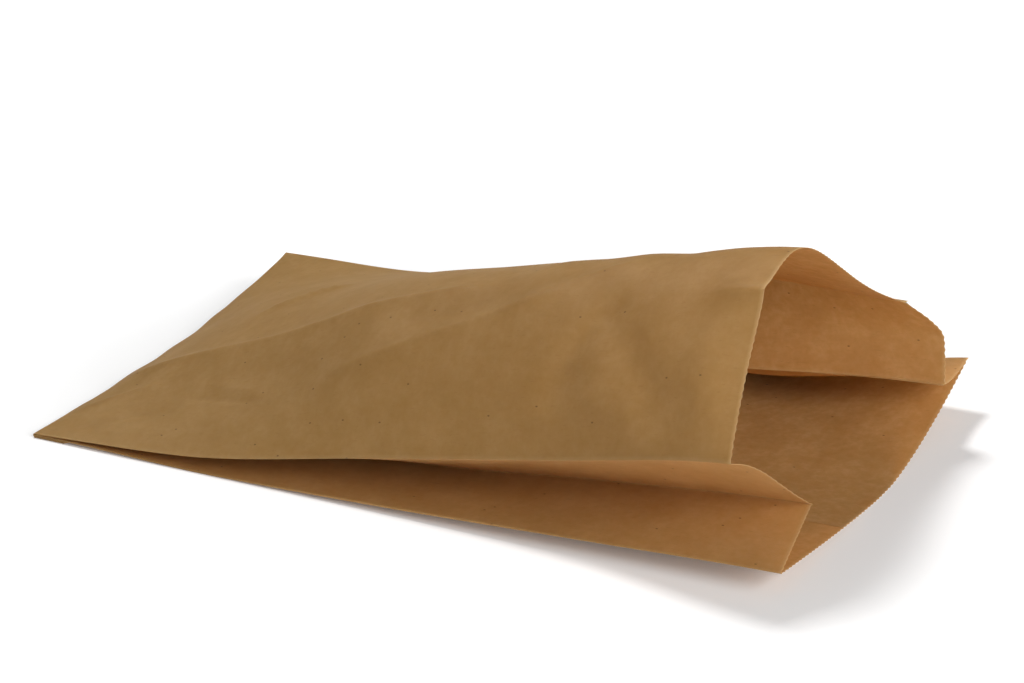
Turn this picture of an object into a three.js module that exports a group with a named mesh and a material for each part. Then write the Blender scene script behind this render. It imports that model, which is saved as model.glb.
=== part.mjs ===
// Gusseted paper bag, lying on its back panel with the mouth opened by hand.
// One folded and glued sheet: back panel, front panel and a pleated gusset on each side.
// X runs from the closed end to the mouth, Y from the near side to the far side, Z is up.
// Units are millimetres.

import * as THREE from 'three';

// Flat sizes of the bag
const BAG_LENGTH = 300;
const PANEL_WIDTH = 160;
const GUSSET_DEPTH = 36;

// Sheet and folds
const SHEET_THICKNESS = 0.16;
const FOLD_RADIUS = 0.17;
const LAYER_RADII = 6;
const END_WALL = 1.6;

// Closed end, folded under and glued to the back panel
const FLAP_LENGTH = 16;
const FLAP_THICKNESS = 0.4;
const FLAP_EDGE_STEP = 0.15;
const FLAP_LIFT_LENGTH = 60;
const END_ROUND = 0.5;
const END_ROUND_ANGLES = [75, 45];

// Lengthwise glued overlap inside the back panel
const SEAM_FROM_NEAR_EDGE = 48;
const SEAM_WIDTH = 20;
const SEAM_EDGE_STEP = 0.1;

// Zigzag cut of the mouth
const TOOTH_PITCH = 2.5;
const TOOTH_DEPTH = 0.5;
const MOUTH_BAND = 3;

// Fineness of the mesh
const LENGTH_STEPS = 22;
const ARCH_SAMPLES = 80;
const ARCH_HALVINGS = 30;
const MITER_LIMIT = 0.7;
const FOLD_STEPS = 3;
const PANEL_STEPS = { nearLower: 4, nearUpper: 4, front: 16, farUpper: 6, farLower: 5 };
const BACK_STEPS_FAR = 7;
const BACK_STEPS_NEAR = 4;

// Paper finish
const KRAFT_COLOUR = 0xa37c50;
const KRAFT_ROUGHNESS = 0.85;

// Posture of the fold lines, each with five knots at equal steps from the closed end to the
// mouth. alongX and acrossY move a fold from its flat place, rise lifts it off the back panel.
const FOLDS = {
  nearBack: { alongX: [0, 0, 0, 1, 2.5], acrossY: [0, 0, 0, 0, 0], rise: [0, 0, 0, 0, 0] },
  nearCrease: { alongX: [0, 0, 0, 0, 1], acrossY: [0, -1, -1, -3, -9.5], rise: [0, 0, 1.5, 11, 20.5] },
  nearFront: { alongX: [0, -1, -3, -6, -11.5], acrossY: [0, 1, 4, 4, -5.5], rise: [0, 5, 15, 24.5, 37.5] },
  farFront: { alongX: [5, 4, 2, 0, -6], acrossY: [0, -6, -15, -25, -39.5], rise: [0, 20, 38, 48, 34.5] },
  farCrease: { alongX: [3, 3, 3, 3, 4], acrossY: [0, 1, 2, 5, 7], rise: [0, 5, 9, 15, 11.5] },
  farBack: { alongX: [5, 3, 3, 3, 2], acrossY: [0, 0, 0, 0, 1], rise: [0, 0, 0, 0, 0] },
};

// Heights of the curled long edges of the back panel, and where the curls start
const NEAR_CURL = { height: [0, 0, 2, 5.5, 8.5], start: 0.25, power: 2 };
const FAR_CURL = { height: [16, 1.2, 0, 0.5, 19.3], start: 0.42, power: 1.5 };

// Hand-opened arch of the front panel: skew and two overtones of its wave, and how far the
// arch draws its middle back from the mouth
const ARCH = {
  skew: [1, 0.97, 0.93, 1, 0.91],
  second: [0, 0, 0.13, 0.17, 0.11],
  third: [0, 0, 0, 0.05, -0.06],
  draw: [0.8, 7, 9.5, 9.5, 6],
};

// Sideways bow of the gusset faces at the mouth, its lean towards the second fold, and from
// which share of the length it grows
const MOUTH_BOW = {
  nearLower: { height: 0, lean: 1 },
  nearUpper: { height: -2.4, lean: 1.8 },
  farUpper: { height: 0, lean: 1 },
  farLower: { height: -2, lean: 1 },
};
const BOW_START = 0.5;

// Bend along the middle of the far upper gusset face near the mouth: height off the face,
// step towards the mouth, and from which share of the length it grows
const FAR_BEND = { height: 6, out: 5, start: 0.72 };

// How far from the closed end the layers lie pressed together
const PRESSED_SHARE = 0.3;

const { smoothstep, lerp } = THREE.MathUtils;

/** Value at share s of a smooth curve through equally spaced knots. */
function alongKnots(knots, s) {
  const points = knots.map((value, i) => new THREE.Vector2(i, value));
  return new THREE.SplineCurve(points).getPoint(s).y;
}

/** Height of the back panel at share s of the length and share v of the width. */
function baseHeight(s, v) {
  const near = Math.max(0, 1 - v / NEAR_CURL.start) ** NEAR_CURL.power;
  const far = Math.max(0, (v - FAR_CURL.start) / (1 - FAR_CURL.start)) ** FAR_CURL.power;
  const nearHeight = Math.max(0, alongKnots(NEAR_CURL.height, s));
  const farHeight = Math.max(0, alongKnots(FAR_CURL.height, s));
  const curl = nearHeight * near + farHeight * far;
  const past = smoothstep(s * BAG_LENGTH, FLAP_LENGTH, FLAP_LENGTH + FLAP_LIFT_LENGTH);
  return curl + FLAP_THICKNESS * (1 - past);
}

/** Centre of one fold at share s: x, y, height z above the back panel, and flat place v. */
function foldCentre(name, flatY, layer, s) {
  const fold = FOLDS[name];
  return {
    x: BAG_LENGTH * s + alongKnots(fold.alongX, s),
    y: flatY + alongKnots(fold.acrossY, s),
    z: layer * FOLD_RADIUS + alongKnots(fold.rise, s),
    v: flatY / PANEL_WIDTH,
  };
}

/** Front panel between its two folds: a wave of fixed length PANEL_WIDTH over the chord. */
function frontArch(from, to, s) {
  const chord = new THREE.Vector2(to.y - from.y, to.z - from.z);
  const normal = new THREE.Vector2(-chord.y, chord.x).normalize();
  const skew = alongKnots(ARCH.skew, s);
  const second = alongKnots(ARCH.second, s);
  const third = alongKnots(ARCH.third, s);
  const wave = (height) => {
    const points = [];
    for (let i = 0; i <= ARCH_SAMPLES; i++) {
      const t = i / ARCH_SAMPLES;
      const a = Math.PI * t ** skew;
      const lift = height * (Math.sin(a) + second * Math.sin(2 * a) + third * Math.sin(3 * a));
      const y = from.y + chord.x * t + normal.x * lift;
      const z = from.z + chord.y * t + normal.y * lift;
      points.push(new THREE.Vector3(0, y, z));
    }
    return points;
  };
  const length = (points) => points.slice(1).reduce((sum, p, i) => sum + p.distanceTo(points[i]), 0);
  const wanted = Math.max(PANEL_WIDTH, chord.length());
  let low = 0;
  let high = PANEL_WIDTH;
  for (let i = 0; i < ARCH_HALVINGS; i++) {
    const middle = (low + high) / 2;
    if (length(wave(middle)) > wanted) high = middle;
    else low = middle;
  }
  const points = wave(low);
  const total = length(points);
  const travelled = [0];
  points.slice(1).forEach((p, i) => travelled.push(travelled[i] + p.distanceTo(points[i]) / total));
  return (t) => {
    let i = 1;
    while (i < ARCH_SAMPLES && travelled[i] < t) i++;
    const f = (t - travelled[i - 1]) / (travelled[i] - travelled[i - 1]);
    return points[i - 1].clone().lerp(points[i], f);
  };
}

/** Straight, bowed or bent face between two folds, as a function of the share t across it. */
function bowedFace(from, to, bow, bend) {
  const chord = new THREE.Vector2(to.y - from.y, to.z - from.z);
  const normal = new THREE.Vector2(-chord.y, chord.x).normalize();
  return (t) => {
    const lift = bow.height * Math.sin(Math.PI * t ** bow.lean) + bend * bendShape(t);
    const y = lerp(from.y, to.y, t) + normal.x * lift;
    const z = lerp(from.z, to.z, t) + normal.y * lift;
    return new THREE.Vector3(0, y, z);
  };
}

/** Height of a bend across a face: 0 at both folds and 1 in the middle. */
function bendShape(t) {
  return 1 - Math.abs(2 * t - 1);
}

/** Equal shares from 0 to 1 in the given number of steps. */
function equalShares(steps) {
  return Array.from({ length: steps + 1 }, (_, i) => i / steps);
}

/** Shares across the back panel from the far fold to the near fold, with the seam's edges. */
function backShares() {
  const seamNear = 1 - SEAM_FROM_NEAR_EDGE / PANEL_WIDTH;
  const seamFar = seamNear - SEAM_WIDTH / PANEL_WIDTH;
  const step = SEAM_EDGE_STEP / PANEL_WIDTH;
  const far = equalShares(BACK_STEPS_FAR).map((t) => t * (seamFar - step));
  const near = equalShares(BACK_STEPS_NEAR).map((t) => lerp(seamNear + step, 1, t));
  return [...far, seamFar, (seamFar + seamNear) / 2, seamNear, ...near];
}

/** True where share t across the back panel lies on the glued overlap. */
function onSeam(t) {
  const seamNear = 1 - SEAM_FROM_NEAR_EDGE / PANEL_WIDTH;
  const seamFar = seamNear - SEAM_WIDTH / PANEL_WIDTH;
  return t >= seamFar && t <= seamNear;
}

const FLAT = { height: 0, lean: 1 };

/** The six faces of the sheet at share s, in order round the bag, with their end folds. */
function facesAt(s) {
  const far = PANEL_WIDTH - GUSSET_DEPTH;
  const nearBack = foldCentre('nearBack', 0, 1, s);
  const nearCrease = foldCentre('nearCrease', GUSSET_DEPTH, 3, s);
  const nearFront = foldCentre('nearFront', 0, 5, s);
  const farFront = foldCentre('farFront', PANEL_WIDTH, 5, s);
  const farCrease = foldCentre('farCrease', far, 3, s);
  const farBack = foldCentre('farBack', PANEL_WIDTH, 1, s);
  const open = smoothstep(s, BOW_START, 1);
  const bent = smoothstep(s, FAR_BEND.start, 1);
  const gusset = (name, from, to, bend) => {
    const { height, lean } = MOUTH_BOW[name];
    const bow = { height: height * open, lean };
    return { from, to, shares: equalShares(PANEL_STEPS[name]), bow, bend };
  };
  return [
    gusset('nearLower', nearBack, nearCrease, 0),
    gusset('nearUpper', nearCrease, nearFront, 0),
    { from: nearFront, to: farFront, shares: equalShares(PANEL_STEPS.front), arch: true, bend: 0 },
    gusset('farUpper', farFront, farCrease, bent),
    gusset('farLower', farCrease, farBack, 0),
    { from: farBack, to: nearBack, shares: backShares(), bow: FLAT, bend: 0, back: true },
  ];
}

/** Points of one face at share s, lifted by the height of the back panel. */
function facePoints(face, s) {
  const { from, to, bow, bend } = face;
  const path = face.arch ? frontArch(from, to, s) : bowedFace(from, to, bow, bend * FAR_BEND.height);
  const pressed = face.back ? 1 : 1 - smoothstep(s, 0, PRESSED_SHARE);
  return face.shares.map((t) => {
    const point = path(t);
    const v = lerp(from.v, to.v, t);
    const chordBase = lerp(baseHeight(s, from.v), baseHeight(s, to.v), t);
    point.x = lerp(from.x, to.x, t) + bend * FAR_BEND.out * bendShape(t);
    if (face.arch) point.x -= alongKnots(ARCH.draw, s) * Math.sin(Math.PI * t);
    point.z += lerp(chordBase, baseHeight(s, v), pressed);
    return point;
  });
}

/** Unit direction from p to q across the bag. */
function acrossDirection(p, q) {
  return new THREE.Vector2(q.y - p.y, q.z - p.z).normalize();
}

/** Middle line of the sheet round the bag at share s, its folds bent round small circles. */
function middleRing(s) {
  const faces = facesAt(s).map((face) => ({ ...face, points: facePoints(face, s) }));
  const bends = faces.map((face, i) => {
    const before = faces.at(i - 1).points;
    const back = acrossDirection(before.at(-1), before.at(-2));
    const ahead = acrossDirection(face.points[0], face.points[1]);
    const turn = Math.sign(back.x * ahead.y - back.y * ahead.x) || 1;
    const leave = new THREE.Vector2(-ahead.y, ahead.x).multiplyScalar(turn * FOLD_RADIUS);
    const arrive = new THREE.Vector2(back.y, -back.x).multiplyScalar(turn * FOLD_RADIUS);
    return { arrive, leave, turn };
  });
  const ring = [];
  faces.forEach((face, i) => {
    const { arrive, leave, turn } = bends[i];
    const next = bends[(i + 1) % bends.length];
    const corner = face.points[0];
    const start = Math.atan2(arrive.y, arrive.x);
    const full = 2 * Math.PI;
    const sweep = ((((start - Math.atan2(leave.y, leave.x)) * turn) % full) + full) % full;
    for (let k = 0; k < FOLD_STEPS; k++) {
      const a = start - turn * sweep * (k / FOLD_STEPS);
      const y = corner.y + FOLD_RADIUS * Math.cos(a);
      const z = corner.z + FOLD_RADIUS * Math.sin(a);
      ring.push({ point: new THREE.Vector3(corner.x, y, z), seam: false, back: false });
    }
    face.points.slice(0, -1).forEach((p, k) => {
      const t = face.shares[k];
      const shift = leave.clone().lerp(next.arrive, t);
      const point = new THREE.Vector3(p.x, p.y + shift.x, p.z + shift.y);
      ring.push({ point, seam: Boolean(face.back) && onSeam(t), back: Boolean(face.back) && t > 0 });
    });
  });
  return ring;
}

/** Ring of one skin: the middle ring moved out (or in) by its own offset at each point. */
function offsetRing(ring, offsetOf) {
  const count = ring.length;
  return ring.map((item, i) => {
    const before = acrossDirection(ring[(i + count - 1) % count].point, item.point);
    const after = acrossDirection(item.point, ring[(i + 1) % count].point);
    const normal = new THREE.Vector2(-before.y - after.y, before.x + after.x).normalize();
    const miter = 1 / Math.max(MITER_LIMIT, normal.dot(new THREE.Vector2(-after.y, after.x)));
    const reach = offsetOf(item) * miter;
    const p = item.point;
    return new THREE.Vector3(p.x, p.y + normal.x * reach, p.z + normal.y * reach);
  });
}

const HALF_SHEET = SHEET_THICKNESS / 2;
const outerOffset = (flap) => (item) => HALF_SHEET + (flap && item.back ? FLAP_THICKNESS : 0);
const innerOffset = (item) => -HALF_SHEET - (item.seam ? SHEET_THICKNESS : 0);

/** Shares of the length where the skins have a ring, from the closed end to the mouth band. */
function stationShares() {
  const flapEnd = FLAP_LENGTH / BAG_LENGTH;
  const afterFlap = (FLAP_LENGTH + FLAP_EDGE_STEP) / BAG_LENGTH;
  const band = 1 - MOUTH_BAND / BAG_LENGTH;
  const shares = [0, END_WALL / BAG_LENGTH, flapEnd / 2, flapEnd, afterFlap];
  for (let i = 1; i <= LENGTH_STEPS; i++) shares.push(lerp(afterFlap, band, i / LENGTH_STEPS));
  return shares;
}

const positions = [];
const faces = [];

/** Stores a ring's points and returns their indices. */
function addRing(points) {
  return points.map((p) => positions.push(p) - 1);
}

/** Joins two rings of equal count by triangles, turned over for the inner skin. */
function joinRings(first, second, inner) {
  first.forEach((a, i) => {
    const j = (i + 1) % first.length;
    const [b, c, d] = [first[j], second[j], second[i]];
    if (inner) faces.push([a, c, d], [a, b, c]);
    else faces.push([a, d, c], [a, c, b]);
  });
}

/** Closes a ring with a flat wall, facing the closed end or, inside, the mouth. */
function closeRing(ring, inner) {
  const outline = ring.map((i) => new THREE.Vector2(positions[i].y, positions[i].z));
  const triangles = THREE.ShapeUtils.triangulateShape(outline, []);
  const areaOf = (triangle) => THREE.ShapeUtils.area(triangle.map((i) => outline[i]));
  const counterClockwise = triangles.reduce((sum, triangle) => sum + areaOf(triangle), 0) > 0;
  const keep = counterClockwise === inner;
  for (const [i, j, k] of triangles) {
    faces.push(keep ? [ring[i], ring[j], ring[k]] : [ring[i], ring[k], ring[j]]);
  }
}

/** Rounded tip of the closed end: rings that shrink in height while they move outwards. */
function endRoundRings(ring) {
  const stackMiddle = (LAYER_RADII * FOLD_RADIUS - FLAP_THICKNESS) / 2;
  return END_ROUND_ANGLES.map((degrees) => {
    const a = THREE.MathUtils.degToRad(degrees);
    return ring.map((p) => {
      const v = THREE.MathUtils.clamp(p.y / PANEL_WIDTH, 0, 1);
      const middle = baseHeight(0, v) + stackMiddle;
      return new THREE.Vector3(p.x - END_ROUND * Math.sin(a), p.y, lerp(middle, p.z, Math.cos(a)));
    });
  });
}

/** Mouth ring with its zigzag: all points of the skin's ring plus the tips and roots. */
function toothedRing(middle, skin, band) {
  const count = middle.length;
  const lengths = middle.map((item, i) => item.point.distanceTo(middle[(i + 1) % count].point));
  const perimeter = lengths.reduce((sum, length) => sum + length, 0);
  const half = perimeter / Math.round(perimeter / TOOTH_PITCH) / 2;
  const groups = [];
  let travelled = 0;
  lengths.forEach((length, i) => {
    const places = [travelled];
    const firstTurn = Math.floor(travelled / half) + 1;
    for (let turn = firstTurn; turn * half < travelled + length; turn++) places.push(turn * half);
    groups.push(places.map((place) => {
      const f = (place - travelled) / length;
      const phase = (place / half) % 2;
      const depth = TOOTH_DEPTH * (phase < 1 ? phase : 2 - phase);
      const tip = skin[i].clone().lerp(skin[(i + 1) % count], f);
      const root = band[i].clone().lerp(band[(i + 1) % count], f);
      return tip.lerp(root, depth / MOUTH_BAND);
    }));
    travelled += length;
  });
  return groups.map(addRing);
}

/** Joins the last even ring to the toothed ring by a fan for each stretch between its points. */
function joinMouth(ring, groups, inner) {
  const count = ring.length;
  ring.forEach((a, i) => {
    const next = (i + 1) % count;
    const rim = [...groups[i], groups[next][0]];
    rim.slice(1).forEach((q, k) => faces.push(inner ? [a, q, rim[k]] : [a, rim[k], q]));
    faces.push(inner ? [a, ring[next], rim.at(-1)] : [a, rim.at(-1), ring[next]]);
  });
}

/** Closes the cut edge of the sheet between the outer and the inner toothed ring. */
function joinRim(outerGroups, innerGroups) {
  const outer = outerGroups.flat();
  const inner = innerGroups.flat();
  outer.forEach((a, i) => {
    const j = (i + 1) % outer.length;
    faces.push([inner[i], inner[j], outer[j]], [inner[i], outer[j], a]);
  });
}

/** Builds the closed surface of the folded sheet. */
function foldedSheet() {
  const shares = stationShares();
  const rings = shares.map(middleRing);
  const flapEnd = FLAP_LENGTH / BAG_LENGTH;
  const outer = rings.map((ring, i) => offsetRing(ring, outerOffset(shares[i] <= flapEnd)));
  const inner = rings.slice(1).map((ring) => offsetRing(ring, innerOffset));
  const mouth = middleRing(1);

  const outerRings = [...endRoundRings(outer[0]), ...outer].map(addRing);
  const innerRings = inner.map(addRing);
  outerRings.slice(1).forEach((ring, i) => joinRings(outerRings[i], ring, false));
  innerRings.slice(1).forEach((ring, i) => joinRings(innerRings[i], ring, true));
  closeRing(outerRings[0], false);
  closeRing(innerRings[0], true);

  const outerMouth = toothedRing(mouth, offsetRing(mouth, outerOffset(false)), outer.at(-1));
  const innerMouth = toothedRing(mouth, offsetRing(mouth, innerOffset), inner.at(-1));
  joinMouth(outerRings.at(-1), outerMouth, false);
  joinMouth(innerRings.at(-1), innerMouth, true);
  joinRim(outerMouth, innerMouth);

  const geometry = new THREE.BufferGeometry().setFromPoints(positions);
  geometry.setIndex(faces.flat());
  return geometry;
}

/** Moves the geometry so that the middle of its underside is the origin. */
function restOnOrigin(geometry) {
  geometry.computeBoundingBox();
  const box = geometry.boundingBox;
  const middle = box.getCenter(new THREE.Vector3());
  return geometry.translate(-middle.x, -middle.y, -box.min.z);
}

const kraft = new THREE.MeshStandardMaterial({
  color: KRAFT_COLOUR,
  roughness: KRAFT_ROUGHNESS,
  metalness: 0,
});
const sheet = restOnOrigin(foldedSheet());
sheet.computeVertexNormals();

const bag = new THREE.Mesh(sheet, kraft);
bag.name = 'paper_bag';

const part = new THREE.Group();
part.add(bag);

export default part;
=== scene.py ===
"""Looks of a gusseted kraft paper bag that lies on its back panel with the mouth opened by hand.

The bag is one flat sheet. A grid is added as the flat sheet, every point of it is moved to its
place on the folded bag, as folding by hand would, and the sheet then gets its thickness.
Lengths of the bag are in millimetres until they are written to the mesh, which is in metres.
"""

from __future__ import annotations

import logging
import math
from dataclasses import dataclass, field
from enum import Enum

import bpy
from mathutils import Euler, Matrix, Vector, noise

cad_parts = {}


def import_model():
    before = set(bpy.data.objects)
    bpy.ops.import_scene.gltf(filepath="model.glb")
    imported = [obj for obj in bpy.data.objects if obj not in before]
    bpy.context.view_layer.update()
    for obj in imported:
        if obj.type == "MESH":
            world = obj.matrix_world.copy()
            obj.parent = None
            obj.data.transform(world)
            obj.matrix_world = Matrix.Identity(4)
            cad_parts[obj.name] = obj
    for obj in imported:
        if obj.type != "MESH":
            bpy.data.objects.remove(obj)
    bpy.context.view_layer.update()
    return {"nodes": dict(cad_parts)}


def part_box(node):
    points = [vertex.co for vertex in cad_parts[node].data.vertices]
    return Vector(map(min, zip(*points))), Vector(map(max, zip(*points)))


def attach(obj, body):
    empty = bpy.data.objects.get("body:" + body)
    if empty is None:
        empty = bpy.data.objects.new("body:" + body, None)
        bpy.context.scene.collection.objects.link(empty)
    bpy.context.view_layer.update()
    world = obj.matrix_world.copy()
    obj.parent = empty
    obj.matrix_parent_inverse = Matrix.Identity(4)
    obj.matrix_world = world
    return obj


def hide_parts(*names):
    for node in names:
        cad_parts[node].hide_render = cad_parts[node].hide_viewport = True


logging.basicConfig(level=logging.INFO, format="%(name)s: %(message)s")
log = logging.getLogger("paper_bag")

MM = 0.001
BAG_NODE = "paper_bag"
BAG_BODY = "root"

# Decimals of a metre that tell the grid's lines apart.
GRID_DIGITS = 6

# Sockets of a Mix node that mixes colours: factor, first colour, second colour and result.
MIX_FACTOR, MIX_FIRST, MIX_SECOND, MIX_RESULT = 0, 6, 7, 2

Span = tuple[float, float]
Colour = tuple[float, float, float, float]
Tree = bpy.types.NodeTree
Socket = bpy.types.NodeSocket


def knot_value(knots: tuple[float, ...], share: float) -> float:
    """Reads a smooth curve through equally spaced knots.

    Args:
        knots: Values from the closed end to the mouth.
        share: Share of the bag's length, from 0 to 1.

    Returns:
        The curve's value at that share.
    """
    last = len(knots) - 1
    place = min(max(share, 0.0), 1.0) * last
    index = min(int(place), last - 1)
    t = place - index
    p0 = knots[max(index - 1, 0)]
    p1 = knots[index]
    p2 = knots[index + 1]
    p3 = knots[min(index + 2, last)]
    v0 = (p2 - p0) / 2
    v1 = (p3 - p1) / 2
    return (2 * p1 - 2 * p2 + v0 + v1) * t**3 + (3 * p2 - 3 * p1 - 2 * v0 - v1) * t**2 + v0 * t + p1


def smoothstep(value: float, low: float, high: float) -> float:
    """Rises smoothly from 0 at low to 1 at high."""
    t = min(max((value - low) / (high - low), 0.0), 1.0)
    return t * t * (3 - 2 * t)


def lerp(a: float, b: float, t: float) -> float:
    """Value at share t between a and b."""
    return a + (b - a) * t


def linear_colour(hex_value: str) -> Colour:
    """Turns an sRGB colour to a linear one, with the numbers of the sRGB standard.

    Args:
        hex_value: The colour as #AABBCC.

    Returns:
        Linear red, green and blue, and full opacity.
    """
    channels = [int(hex_value[i : i + 2], 16) / 255 for i in (1, 3, 5)]
    linear = [c / 12.92 if c <= 0.04045 else ((c + 0.055) / 1.055) ** 2.4 for c in channels]
    return (linear[0], linear[1], linear[2], 1.0)


class Corner(Enum):
    """The six lengthwise folds, in order round the bag."""

    NEAR_BACK = "near_back"
    NEAR_CREASE = "near_crease"
    NEAR_FRONT = "near_front"
    FAR_FRONT = "far_front"
    FAR_CREASE = "far_crease"
    FAR_BACK = "far_back"


class Face(Enum):
    """The faces of the sheet from its outer glued edge to its inner glued edge."""

    BACK_NEAR = "back_near"
    NEAR_LOWER = "near_lower"
    NEAR_UPPER = "near_upper"
    FRONT = "front"
    FAR_UPPER = "far_upper"
    FAR_LOWER = "far_lower"
    BACK_FAR = "back_far"


@dataclass(frozen=True)
class BagSizes:
    """Flat sizes of the bag and of its sheet, in millimetres.

    layers_at_end is how many fold radii lie between the flap and the back panel. The mouth's
    last rows are mouth_band and mouth_row from the cut, and the teeth are drawn back along the
    line to the ring at cut_reach from it.
    """

    length: float = 300.0
    panel_width: float = 160.0
    gusset_depth: float = 36.0
    sheet_thickness: float = 0.11
    fold_radius: float = 0.12
    flap_length: float = 16.0
    flap_lift_length: float = 60.0
    flap_gap: float = 0.1
    layers_at_end: int = 6
    seam_from_near_edge: float = 48.0
    seam_width: float = 20.0
    seam_blend: float = 3.0
    seam_glue: float = 0.06
    mouth_band: float = 4.0
    mouth_row: float = 1.6
    cut_reach: float = 2.0
    tooth_depth: float = 0.4
    notch_depth: float = 1.8
    notch_share: float = 0.3


@dataclass(frozen=True)
class SolidMargins:
    """How far the solid's box reaches past the sheet's own lines, in millimetres."""

    closed_end: float = 0.483
    far_edge: float = 1.25
    floor: float = 0.08


@dataclass(frozen=True)
class WearAndHighlight:
    """Share of lighter colour on the folds and in a narrow band at the cut edge: partly rubbed fibre,
    partly painted highlight where the edges catch the light.
    """

    fold: float = 0.35
    cut: float = 0.9
    cut_width: float = 1.5


@dataclass(frozen=True)
class FoldLine:
    """Posture of one fold, as five knots from the closed end to the mouth, in millimetres."""

    flat_share: float
    layer: int
    along_x: tuple[float, ...]
    across_y: tuple[float, ...]
    rise: tuple[float, ...]


@dataclass(frozen=True)
class Curl:
    """Height of a curled long edge of the back panel, and where across the panel it starts."""

    height: tuple[float, ...]
    start: tuple[float, ...]
    power: float


@dataclass(frozen=True)
class Bow:
    """Sideways bow of a gusset face at the mouth, leaning towards its second fold."""

    height: float
    lean: float = 1.0

    def lift(self, share: float) -> float:
        """Height of the bow at a share across the face."""
        return self.height * math.sin(math.pi * share**self.lean)


@dataclass(frozen=True)
class MiddleBend:
    """Bend along the middle of the far upper gusset face near the mouth."""

    height: float = 6.0
    out: float = 5.0
    start: float = 0.72
    round_share: float = 0.08

    def shape(self, share: float) -> float:
        """Height of the bend across the face: 0 at both folds, most in the middle.

        Args:
            share: Share of the face's width, from 0 to 1.

        Returns:
            Share of the bend's full height.
        """
        away = abs(share - 0.5)
        rounded = math.sqrt(away**2 + self.round_share**2) - self.round_share
        return max(0.0, 1 - 2 * rounded)


@dataclass(frozen=True)
class Arch:
    """Wave of the front panel over its chord, and how far its middle draws back."""

    skew: tuple[float, ...] = (1.0, 0.97, 0.93, 1.0, 0.91)
    second: tuple[float, ...] = (0.0, 0.0, 0.13, 0.17, 0.11)
    third: tuple[float, ...] = (0.0, 0.0, 0.0, 0.05, -0.06)
    draw: tuple[float, ...] = (0.8, 7.0, 9.5, 9.5, 6.0)
    samples: int = 80
    halvings: int = 24


def fold_lines(sizes: BagSizes) -> dict[Corner, FoldLine]:
    """Gives the posture of the six folds, close to the solid part's.

    Args:
        sizes: Flat sizes of the bag.

    Returns:
        A fold line for each corner.
    """
    near = sizes.gusset_depth / sizes.panel_width
    still = (0.0, 0.0, 0.0, 0.0, 0.0)
    return {
        Corner.NEAR_BACK: FoldLine(0.0, 1, (0, 0, 0, 1, 2.5), still, still),
        Corner.NEAR_CREASE: FoldLine(
            near, 3, (0, 0, 0, 0, 1), (0, -1, -1, -3, -9.5), (0, 0, 1.3, 8.5, 16.4)
        ),
        Corner.NEAR_FRONT: FoldLine(
            0.0, 5, (0, -1, -3, -6, -11.5), (0, 1, 4, 4, -5.5), (0, 5, 15, 24.5, 37)
        ),
        Corner.FAR_FRONT: FoldLine(
            1.0, 5, (5, 4, 2, 0, -6), (0, -6, -15, -25, -39.5), (0, 20, 38, 48, 34.5)
        ),
        Corner.FAR_CREASE: FoldLine(
            1 - near, 3, (3, 3, 3, 3, 4), (0, 1, 2, 5, 7), (0, 5, 9, 15, 13.9)
        ),
        Corner.FAR_BACK: FoldLine(1.0, 1, (5, 3, 3, 3, 2), (0, 0, 0, 0, 1), still),
    }


@dataclass(frozen=True)
class Crease:
    """A soft dent or ridge of the front panel, along a straight line on the flat panel.

    start and end are (millimetres from the closed end, millimetres from the near fold). height
    is outwards, and sharp gives the ridge a pointed top where a soft one has a round top. It
    fades in and out over shares of its length, and reaches so many widths to each side.
    """

    start: Span
    end: Span
    height: float
    width: float
    sharp: bool = False
    fade_in: Span = (-0.25, 0.2)
    fade_out: Span = (0.8, 1.25)
    reach: float = 3.0
    sharp_fall: float = 1.5

    def lift(self, along: float, across: float) -> float:
        """Height that this crease adds at one place of the flat panel.

        Args:
            along: Millimetres from the closed end.
            across: Millimetres from the near fold.

        Returns:
            Height outwards, in millimetres.
        """
        dx = self.end[0] - self.start[0]
        dy = self.end[1] - self.start[1]
        length = math.hypot(dx, dy)
        ahead, aside = along - self.start[0], across - self.start[1]
        t = (ahead * dx + aside * dy) / length**2
        side = abs(ahead * dy - aside * dx) / length / self.width
        fade = smoothstep(t, *self.fade_in) * (1 - smoothstep(t, *self.fade_out))
        if side > self.reach or fade == 0:
            return 0.0
        profile = math.exp(-self.sharp_fall * side) if self.sharp else math.exp(-side * side)
        return self.height * profile * fade


@dataclass(frozen=True)
class EndWave:
    """Uneven line of the folded closed end, in millimetres."""

    depth: float = 2.6
    pitch: float = 19.0
    reach: float = 34.0
    seed: Span = (2.6, 0.5)

    def step(self, distance: float, across: float) -> float:
        """Step along the bag at a distance from the closed end."""
        fade = 1 - smoothstep(distance, 0.0, self.reach)
        return self.depth * fade * noise.noise(Vector((across / self.pitch, *self.seed)))


FRONT_CREASES = (
    Crease((10, 47), (124, 60), 2.6, 9, sharp=True),
    Crease((120, 60), (176, 67), 2.2, 8, sharp=True),
    Crease((30, 26), (116, 38), -2.2, 11),
    Crease((124, 31), (208, 56), 2.2, 8, sharp=True),
    Crease((204, 55), (240, 72), 2.0, 8, sharp=True),
    Crease((150, 51), (190, 58), -1.8, 7),
    Crease((241, 52), (222, 20), -2.1, 6),
    Crease((241, 52), (274, 6), -1.8, 7),
    Crease((232, 30), (240, 48), 1.0, 3, sharp=True),
    Crease((236, 20), (258, 14), 1.0, 8),
    Crease((288, 4), (282, 40), 1.6, 8),
    Crease((196, 78), (246, 84), 2.4, 17),
    Crease((58, 29), (94, 25), -0.9, 2.5, sharp=True),
    Crease((66, 35), (86, 31), 0.8, 2.5, sharp=True),
    Crease((3, 3), (50, 8), 1.1, 3, sharp=True),
    Crease((3, 7), (44, 21), -1.3, 4),
    Crease((2, 20), (32, 36), 1.2, 3.5, sharp=True),
    Crease((54, 83), (76, 108), 1.4, 4, sharp=True),
    Crease((284, 53), (324, 53), 4.6, 8, sharp=True),
)


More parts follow.
